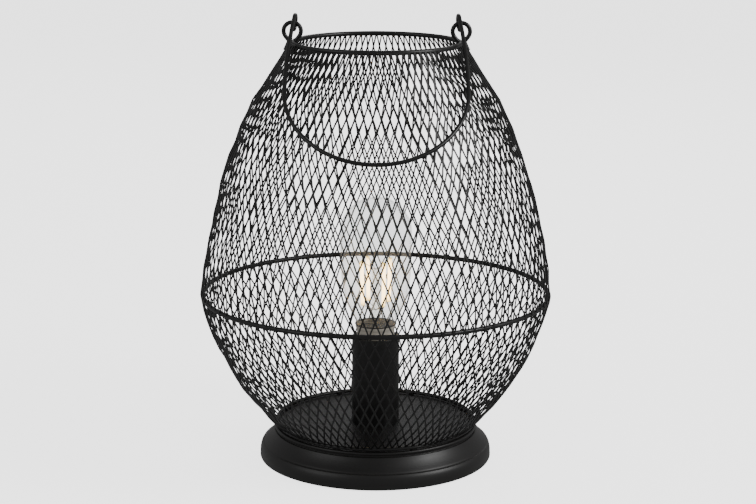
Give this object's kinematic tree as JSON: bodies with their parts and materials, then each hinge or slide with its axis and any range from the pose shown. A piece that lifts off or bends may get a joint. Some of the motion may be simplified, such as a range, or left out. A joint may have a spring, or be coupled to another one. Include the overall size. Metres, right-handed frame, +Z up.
{
  "type": "lantern table lamp",
  "caption": "Black lantern table lamp: an open barrel of diamond mesh on a moulded round plinth, a wire bail handle and a screw-in filament bulb.",
  "frame": {"origin": "centre of the foot, on the surface the lamp stands on", "axes": "+Z up; the handle's eyes stand at +X and -X; -Y is the front, where the resting handle leans on the mesh"},
  "size_m": [0.314, 0.314, 0.3982],
  "materials": {
    "plinth_paint": "satin black paint",
    "cover_paint": "black paint",
    "wire_paint": "satin black paint",
    "mesh_paint": "satin black paint",
    "bail_paint": "satin black paint",
    "sleeve_paint": "satin black paint",
    "zinc_steel": "bright zinc plating",
    "rubber": "matt",
    "bushing_plastic": "matt black",
    "holder_plastic": "black moulding",
    "ceramic": "glazed off-white",
    "brass": "plain",
    "bulb_tip_metal": "tinned",
    "bulb_cap_metal": "bright",
    "insulator_black": "black glass-like",
    "collar_plastic": "matt warm grey",
    "bulb_glass": "thin clear glass",
    "stem_glass": "clear glass",
    "filament_yellow": "yellow coating",
    "lead_wire": "drawn wire"
  },
  "bodies": {
    "lamp": {"plinth": "plinth_paint", "bottom_cover": "cover_paint", "cover_screws": "zinc_steel", "rubber_feet": "rubber", "cord_bushing": "bushing_plastic", "threaded_nipple": "zinc_steel", "hex_nuts": "zinc_steel", "washers": "zinc_steel", "sleeve_tube": "sleeve_paint", "lampholder_cap": "holder_plastic", "lampholder_body": "holder_plastic", "lampholder_core": "ceramic", "terminal_screws": "brass", "screw_shell": "brass", "centre_contact": "brass", "spacer_lugs": "wire_paint", "bottom_ring": "wire_paint", "lower_mesh": "mesh_paint", "middle_ring": "wire_paint", "upper_mesh": "mesh_paint", "top_ring": "wire_paint", "eye_left": "wire_paint", "eye_right": "wire_paint"},
    "bail": {"bail_handle": "bail_paint"},
    "bulb_tip": {"bulb_tip_contact": "bulb_tip_metal"},
    "bulb": {"bulb_glass": "bulb_glass", "bulb_collar": "collar_plastic", "bulb_cap": "bulb_cap_metal", "bulb_insulator": "insulator_black", "bulb_stem": "stem_glass", "bulb_filaments": "filament_yellow", "bulb_support_wires": "lead_wire"}
  },
  "joints": [
    {"name": "bail_swing", "type": "hinge", "parent": "lamp", "child": "bail", "pos_m": [0, 0, 0.39], "axis": [-1, 0, 0], "range_deg": [0, 238]},
    {"name": "bulb_rise", "type": "slide", "parent": "lamp", "child": "bulb_tip", "axis": [0, 0, 1], "range_m": [0, 0.0145]},
    {"name": "bulb_turn", "type": "hinge", "parent": "bulb_tip", "child": "bulb", "pos_m": [0, 0, 0.1], "axis": [0, 0, 1], "range_deg": [0, 1440]}
  ],
  "couplings": [
    {"joint": "bulb_rise", "follows": "bulb_turn", "m_per_rad": 0.00057614}
  ]
}
